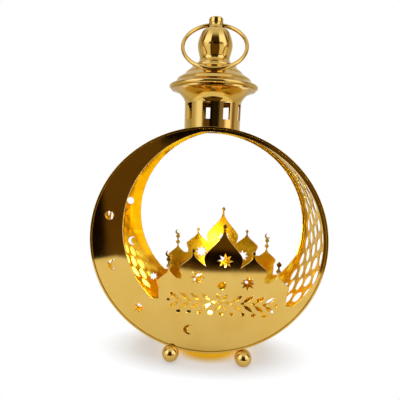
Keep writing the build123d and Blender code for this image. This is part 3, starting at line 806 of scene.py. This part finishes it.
# Carry ring of round wire, leaning on the cap
ring = {"wire": 1.05, "steps": 180, "sides": 24}
ringLow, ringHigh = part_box("carry_ring")
hinge = next(joint for joint in frame["joints"] if joint["child"] == "carry_ring")["pos_m"]


def makeRing():
    skin = Skin()
    wire = ring["wire"]
    radius = (ringHigh.x - ringLow.x) / 2 / mm - wire
    middle = [(low + high) / 2 / mm for low, high in zip(ringLow, ringHigh)]
    hang = Vector((0.0, middle[1] - hinge[1] / mm, middle[2] - hinge[2] / mm)).normalized()
    columns = []
    for step in range(ring["steps"] + 1):
        turn = 2 * math.pi * (step % ring["steps"]) / ring["steps"]
        outward = Vector((math.cos(turn), 0, 0)) + hang * math.sin(turn)
        across = Vector((1, 0, 0)).cross(hang)
        column = []
        for side in range(ring["sides"] + 1):
            angle = 2 * math.pi * (side % ring["sides"]) / ring["sides"]
            reach = radius + wire * math.cos(angle)
            column.append(tuple(Vector(middle) + outward * reach + across * (wire * math.sin(angle))))
        columns.append(column)
    skin.strips(columns, ring["sides"] + 1)
    return skin.finish("carryRing", "carry_ring", "gold_wire", wireGold, body="carry_ring")


makeRing()

# Ball feet
foot = {"radius": 5.39, "flat": 1.5, "segments": 72, "rings": 40, "gap": 0.05, "cutSteps": 240}


def makeFoot(node):
    low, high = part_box(node)
    x, y = (low.x + high.x) / 2 / mm, (low.y + high.y) / 2 / mm
    radius, flat = foot["radius"], foot["flat"]
    drop = math.sqrt(radius * radius - flat * flat)
    first = math.asin(flat / radius)
    outline = [(0.0, 0.0)]
    for step in range(foot["rings"] + 1):
        turn = first + (math.pi - first) * step / foot["rings"]
        outline.append((radius * math.sin(turn), drop - radius * math.cos(turn)))
    outline[-1] = (0.0, drop + radius)
    skin = turned(outline, foot["segments"])
    skin.points = [[px + x * mm, py + y * mm, pz] for px, py, pz in skin.points]
    words = node.split("_")
    piece = skin.finish(words[0] + words[1].title() + "Foot", node, "gold_turned", ballGold)
    reach, depth = drum["radius"] + foot["gap"], drum["depth"] / 2 + foot["gap"]
    angles = [360 * step / foot["cutSteps"] for step in range(foot["cutSteps"])]
    return cutBy(piece, [[onDrum(angle, side * depth, reach) for angle in angles] for side in (-1, 1)])


for node in ("front_left_foot", "front_right_foot", "rear_left_foot", "rear_right_foot"):
    makeFoot(node)

# Camera at the photograph's place
view = {
    "place": (3.747, -188.222, 63.497 + drumHeight), "yaw": -0.0512, "pitch": -0.2036, "roll": 0.033,
    "lens": 26.84, "sensor": 36.0, "clip": (0.005, 50.0),
}


def makeCamera():
    yaw, pitch, tilt = view["yaw"], view["pitch"], view["roll"]
    ahead = Vector((math.sin(yaw) * math.cos(pitch), math.cos(yaw) * math.cos(pitch), math.sin(pitch)))
    right = Vector((math.cos(yaw), -math.sin(yaw), 0))
    up = right.cross(ahead)
    side, top = right * math.cos(tilt) + up * math.sin(tilt), up * math.cos(tilt) - right * math.sin(tilt)
    turn = Matrix((side, top, -ahead)).transposed().to_4x4()
    data = bpy.data.cameras.new("camera")
    data.lens, data.sensor_width = view["lens"], view["sensor"]
    data.clip_start, data.clip_end = view["clip"]
    camera = bpy.data.objects.new("camera", data)
    scene.collection.objects.link(camera)
    camera.matrix_world = Matrix.Translation(Vector(view["place"]) * mm) @ turn
    scene.camera = camera


makeCamera()
print("camera set")

# Studio: white all round, with a room of light and dark that only reflections see
studio = {
    "white": 1.0, "diffuse": 0.62,
    "umber": (1.0, 0.6, 0.24), "cool": (0.94, 1.0, 1.35), "mild": (1.0, 0.95, 0.84),
    "upperRoom": (  # compass angle, light, tint
        (-155, 0.7, "mild"), (-125, 0.54, "mild"), (-101, 0.5, "mild"), (-92, 0.12, "umber"),
        (-83, 0.12, "umber"), (-74, 1.65, "cool"), (-32, 1.65, "cool"), (-26, 0.05, "umber"),
        (26, 0.05, "umber"), (32, 1.65, "cool"), (74, 1.65, "cool"), (83, 0.12, "umber"),
        (92, 0.12, "umber"), (101, 0.5, "mild"), (125, 0.54, "mild"), (155, 0.7, "mild"),
    ),
    "lowerRoom": (
        (-155, 0.7, "mild"), (-122, 0.6, "mild"), (-96, 0.45, "mild"), (-74, 0.7, "mild"),
        (-60, 1.3, "cool"), (-45, 1.3, "cool"), (-35, 0.12, "umber"), (-10.6, 0.12, "umber"),
        (-9.8, 0.003, "umber"), (-3, 0.003, "umber"), (3, 0.02, "umber"), (24, 0.02, "umber"),
        (32, 0.25, "mild"), (48, 0.4, "umber"), (60, 1.5, "cool"), (76, 1.5, "cool"),
        (88, 0.3, "umber"), (96, 0.3, "umber"), (106, 0.6, "mild"), (155, 0.7, "mild"),
    ),
    "lowerEnd": 9.0, "upperStart": 14.0, "topStart": 40.0, "topEnd": 64.0, "overhead": rgb(0.82, 0.82, 0.86),
}


def makeWorld():
    world = bpy.data.worlds.new("studio")
    scene.world = world
    tree = Tree(world)
    path = tree.node("ShaderNodeLightPath").socket.node.outputs
    aim = tree.node("ShaderNodeTexCoord", out="Generated")
    parts = tree.node("ShaderNodeSeparateXYZ", None, {0: aim})
    x, y, z = [Wire(tree, socket) for socket in parts.socket.node.outputs]
    turn = tree.node("ShaderNodeMath", {"operation": "ARCTAN2"}, {0: x, 1: 0 - y}) / (2 * math.pi) + 0.5
    height = tree.node("ShaderNodeMath", {"operation": "ARCSINE"}, {0: z})

    def around(zones):
        # light by compass angle, 0 towards the camera and left of it negative
        stops = [(0.5 + angle / 360, tuple(light * tint for tint in studio[shade]))
                 for angle, light, shade in zones]
        return tree.node("ShaderNodeValToRGB", {"stops": stops}, {0: turn})

    upper, lower = around(studio["upperRoom"]), around(studio["lowerRoom"])
    rise = tree.fit(height, math.radians(studio["lowerEnd"]), math.radians(studio["upperStart"]))
    overhead = tree.fit(height, math.radians(studio["topStart"]), math.radians(studio["topEnd"]))
    room = tree.blend(overhead, tree.blend(rise, lower, upper), studio["overhead"])
    glossy = tree.node("ShaderNodeBackground", None, {"Color": room, "Strength": 1.0})
    soft = tree.node("ShaderNodeBackground", None, {"Color": rgb(1, 1, 1), "Strength": studio["diffuse"]})
    white = tree.node("ShaderNodeBackground", None, {"Color": rgb(1, 1, 1), "Strength": studio["white"]})
    lit = tree.node("ShaderNodeMixShader", None, {0: Wire(tree, path["Is Glossy Ray"]), 1: soft, 2: glossy})
    seen = Wire(tree, path["Is Camera Ray"]) + Wire(tree, path["Is Transmission Ray"])
    shown = tree.node("ShaderNodeMixShader", None, {0: seen, 1: lit, 2: white})
    tree.node("ShaderNodeOutputWorld", None, {"Surface": shown})


def card(name, left, right, front, back, height, finish):
    mesh = bpy.data.meshes.new(name)
    corners = [(left, front), (right, front), (right, back), (left, back)]
    mesh.from_pydata([(x, y, height) for x, y in corners], [], [(0, 1, 2, 3)])
    mesh.materials.append(finish)
    made = bpy.data.objects.new(name, mesh)
    scene.collection.objects.link(made)
    return made


# Floor in metres: white, with the shadow and a gold glow round the feet; the glow is painted into the paper's
# colour as well as lit by the goldBounce lamp
floor = {
    "half": 6.0, "colour": rgb(0.9, 0.9, 0.9), "lift": 0.4, "mirrorShare": 0.43,
    "shadowMiddle": (0.0, -0.0105, 0.0), "shadowOval": (0.098, 0.0355), "shadowInner": 0.4,
    "glowMiddle": (0.0026, 0.0, 0.0), "glowOval": (0.029, 0.0255), "glowInner": 0.68,
    # glowColour: painted gold bounce light in the paper's colour
    "glowColour": rgb(0.95, 0.74, 0.07),
}


def makeFloor():
    tree = Tree(bpy.data.materials.new("paleFloor"))
    spot = tree.node("ShaderNodeTexCoord", out="Object")

    def oval(kind):
        # 0 inside an oval round the feet, 1 outside it
        away = tree.vector("SUBTRACT", spot, floor[kind + "Middle"])
        scaled = tree.vector("DIVIDE", away, (*floor[kind + "Oval"], 1.0))
        return tree.fit(tree.length(scaled), floor[kind + "Inner"], 1.0)

    bare = oval("glow")
    edge = oval("shadow") + bare * floor["lift"]
    rays = tree.node("ShaderNodeLightPath", out="Is Camera Ray")
    for kind in ("Is Glossy Ray", "Is Transmission Ray"):
        rays = rays + tree.node("ShaderNodeLightPath", out=kind) * floor["mirrorShare"]
    # inside the glow oval the paper's colour is painted gold: painted bounce light from the drum's underside
    sheen = tree.blend(bare, floor["glowColour"], floor["colour"])
    paper = tree.node("ShaderNodeBsdfDiffuse", None, {"Color": sheen})
    white = tree.node("ShaderNodeEmission", None, {"Color": rgb(1, 1, 1), "Strength": 1.0})
    mixed = tree.node("ShaderNodeMixShader", None, {0: edge * rays, 1: paper, 2: white})
    tree.node("ShaderNodeOutputMaterial", None, {"Surface": mixed})
    half = floor["half"]
    card("floor", -half, half, -half, half, 0, tree.owner)


# Cards in metres: a dark one in front and a dim one at each side
cards = {
    "lift": 0.0004, "half": 4.0, "end": -6.0, "near": -0.06, "start": -0.1485, "fade": 0.01,
    "bows": (("MINIMUM", -0.015, 0.3), ("MINIMUM", -0.11, -0.9), ("MAXIMUM", 0.005, -0.1)),
    "wedgeHalf": 0.13, "wedgeSlope": 0.53, "wedgeFade": 1.25,
    "spot": (0.018, -0.192), "spotReach": (0.052, 0.03), "spotNear": 0.55, "spotFar": 1.37,
    "flankSlope": 0.396, "flankStart": 0.1, "flankEnd": 0.115,
    "black": rgb(0.007, 0.004, 0.001), "brown": rgb(0.125, 0.07, 0.012),
    "sideTone": rgb(0.58, 0.54, 0.46), "sideNear": 0.1, "sideFar": 4.0, "sideFront": -0.09,
}


def mirroredCard(name, left, right, front, back, finish):
    # a card just above the floor that only reflections see
    made = card(name, left, right, front, back, cards["lift"], finish)
    made.visible_camera = made.visible_diffuse = made.visible_shadow = made.visible_transmission = False


def makeFrontCard():
    tree = Tree(bpy.data.materials.new("darkCard"))
    spot = tree.node("ShaderNodeSeparateXYZ", None, {0: tree.node("ShaderNodeTexCoord", out="Object")})
    x, y = [Wire(tree, socket) for socket in spot.socket.node.outputs[:2]]
    along = y
    for operation, limit, slope in cards["bows"]:
        along = along - tree.node("ShaderNodeMath", {"operation": operation}, {0: x - limit, 1: 0.0}) * slope
    fade = tree.fit(along, cards["start"] - cards["fade"], cards["start"], 1.0, 0.0)
    ahead = y - cards["start"]
    side = tree.node("ShaderNodeMath", {"operation": "ABSOLUTE"}, {0: x}) + ahead * cards["wedgeSlope"]
    wedge = tree.fit(side, cards["wedgeHalf"], cards["wedgeHalf"] * cards["wedgeFade"], 1.0, 0.0)
    offsets = zip((x, y), cards["spot"], cards["spotReach"])
    spotX, spotY = [(place - middle) / reach for place, middle, reach in offsets]
    far = tree.fit((spotX * spotX + spotY * spotY) ** 0.5, cards["spotNear"], cards["spotFar"])
    flank = tree.fit(ahead * cards["flankSlope"] - x, cards["flankStart"], cards["flankEnd"])
    shade = tree.blend(flank, tree.blend(far, cards["black"], cards["brown"]), cards["black"])
    black = tree.node("ShaderNodeEmission", None, {"Color": shade, "Strength": 1.0})
    clear = tree.node("ShaderNodeBsdfTransparent")
    mixed = tree.node("ShaderNodeMixShader", None, {0: fade * wedge, 1: clear, 2: black})
    tree.node("ShaderNodeOutputMaterial", None, {"Surface": mixed})
    mirroredCard("frontCard", -cards["half"], cards["half"], cards["end"], cards["near"], tree.owner)


def makeSideCards():
    tree = Tree(bpy.data.materials.new("sideTone"))
    dim = tree.node("ShaderNodeEmission", None, {"Color": cards["sideTone"], "Strength": 1.0})
    tree.node("ShaderNodeOutputMaterial", None, {"Surface": dim})
    near, far, front = cards["sideNear"], cards["sideFar"], cards["sideFront"]
    mirroredCard("leftCard", -near, -far, front, far, tree.owner)
    mirroredCard("rightCard", near, far, front, far, tree.owner)


makeWorld()
makeFloor()
makeFrontCard()
makeSideCards()
print("floor and cards laid")

# Each lamp lights only the pieces of its group
litNames = {
    "case": ("battery_case", "battery_cover"),
    "plates": ("frontPlate", "backPlate"),
    "hoops": ("ringBand", "turretCollar", "tieredCap"),
    "all": ("frontPlate", "backPlate", "ringBand", "turretCollar"),
    "table": ("floor",), "flare": ("turretCollar",), "mirror": ("backPlate",),
}
litPieces = {name: bpy.data.collections.new(name) for name in litNames}
for name, pieces in litNames.items():
    for piece in pieces:
        litPieces[name].objects.link(bpy.data.objects[piece])


def addLamp(name, kind, falls, power, colour=(1.0, 1.0, 1.0)):
    data = bpy.data.lights.new(name, kind)
    data.energy, data.color = power, colour
    lamp = bpy.data.objects.new(name, data)
    scene.collection.objects.link(lamp)
    lamp.light_linking.receiver_collection = litPieces[falls]
    return lamp


def addBulb(name, falls, power, size, colour):
    lamp = addLamp(name, "POINT", falls, power, colour)
    lamp.data.shadow_soft_size = size * mm
    return lamp


def addPanel(name, falls, panel):
    # a flat lamp out of the camera's sight, with its own power or a level of light over its face
    wide, long = panel["wide"] * mm, panel["long"] * mm
    power = panel["power"] if "power" in panel else panel["level"] * math.pi * wide * long
    lamp = addLamp(name, "AREA", falls, power, panel["colour"])
    lamp.data.shape, lamp.data.size, lamp.data.size_y = "RECTANGLE", wide, long
    lamp.visible_camera = False
    return lamp


# Warm light of the lantern's own two lamps
lampGlow = {
    "colour": (1.0, 0.96, 0.34), "standoff": 2.2,
    "glows": {
        "lowHalo": {"lamp": "low_lamp", "side": -1, "power": 0.006, "size": 4.0, "falls": "plates"},
        "highHalo": {"lamp": "high_lamp", "side": 1, "power": 0.02, "size": 4.0, "falls": "plates"},
        "lowSpill": {"lamp": "low_lamp", "side": -1, "power": 0.04, "size": 1.6, "falls": "hoops"},
        "highSpill": {"lamp": "high_lamp", "side": 1, "power": 0.09, "size": 1.6, "falls": "hoops"},
        "backHalo": {"lamp": "low_lamp", "side": 1, "power": 0.035, "size": 4.0, "falls": "plates"},
        "caseGlow": {"lamp": "high_lamp", "side": -1, "power": 0.12, "size": 5.0, "falls": "case"},
    },
}
for name, glow in lampGlow["glows"].items():
    lamp = addBulb(name, glow["falls"], glow["power"], glow["size"], lampGlow["colour"])
    low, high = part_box(glow["lamp"])
    lamp.location = (low + high) / 2
    lamp.location.y = (high.y if glow["side"] > 0 else low.y) + glow["side"] * lampGlow["standoff"] * mm

# Gold light that the drum's underside throws on the table
goldBounce = {"place": (2.6, 0.0, 6.0), "wide": 60.0, "long": 38.0, "power": 0.0032,
              "colour": (1.0, 0.68, 0.06)}
lamp = addPanel("goldBounce", "table", goldBounce)
lamp.location = Vector(goldBounce["place"]) * mm
lamp.visible_glossy = False

# Soft light from above and a little behind, which sets the shadow on the table
topLight = {"strength": 1.65, "height": 70.0, "spread": 60.0}
lamp = addLamp("topLight", "SUN", "table", topLight["strength"])
lamp.data.angle = math.radians(topLight["spread"])
lamp.rotation_euler.x = math.radians(topLight["height"] - 90)

# Light from the drum's top onto the collar's flare
flareGlow = {"wide": 70.0, "long": 44.0, "height": 152.6, "level": 0.13, "colour": (1.0, 0.82, 0.2)}
lamp = addPanel("flareGlow", "flare", flareGlow)
lamp.location.z, lamp.rotation_euler.x = flareGlow["height"] * mm, math.pi

# Bluish light from the left, which the back plate mirrors through the lattice's openings
latticeGlow = {"place": (-83.0, -74.0, 1.0), "turn": -28.0, "wide": 17.0, "long": 104.0, "level": 15.0,
               "colour": (0.28, 0.42, 1.0)}
lamp = addPanel("latticeGlow", "mirror", latticeGlow)
lamp.location = Vector(latticeGlow["place"]) * mm
lamp.rotation_euler = (math.pi, 0.0, math.radians(latticeGlow["turn"]))

# Glow that hangs in the left side of the drum, behind the front plate
sideGlow = {
    "places": (  # angle, reach, width, green
        (78, 68.2, 1.8, 1.0), (98, 68.0, 2.0, 1.0), (118, 66.5, 4.5, 0.92), (140, 61.5, 9.0, 0.8),
        (163, 61.6, 14.0, 0.76), (186, 62.0, 14.0, 0.78), (206, 61.4, 13.0, 0.78),
    ),
    "depth": -19.0, "long": 26.0, "level": 0.95, "blueShare": 0.15,
}
for angle, reach, wide, green in sideGlow["places"]:
    colour = (1.0, green, green * sideGlow["blueShare"])
    lamp = addPanel("sideGlow" + str(angle), "all", {**sideGlow, "wide": wide, "colour": colour})
    place = Matrix.Translation(Vector(onDrum(angle, sideGlow["depth"], reach)) * mm)
    facing = place @ Matrix.Rotation(math.radians(-angle), 4, "Y")
    lamp.matrix_world = facing @ Matrix.Rotation(math.pi / 2, 4, "X")

# Fill on the inside of the band at the left
wallGlow = {"angle": 190, "reach": 48.0, "depth": -4.0, "power": 0.06, "size": 6.0,
            "colour": (1.0, 0.78, 0.12)}
lamp = addBulb("wallGlow", "hoops", wallGlow["power"], wallGlow["size"], wallGlow["colour"])
lamp.location = Vector(onDrum(wallGlow["angle"], wallGlow["depth"], wallGlow["reach"])) * mm
print("lamps set")
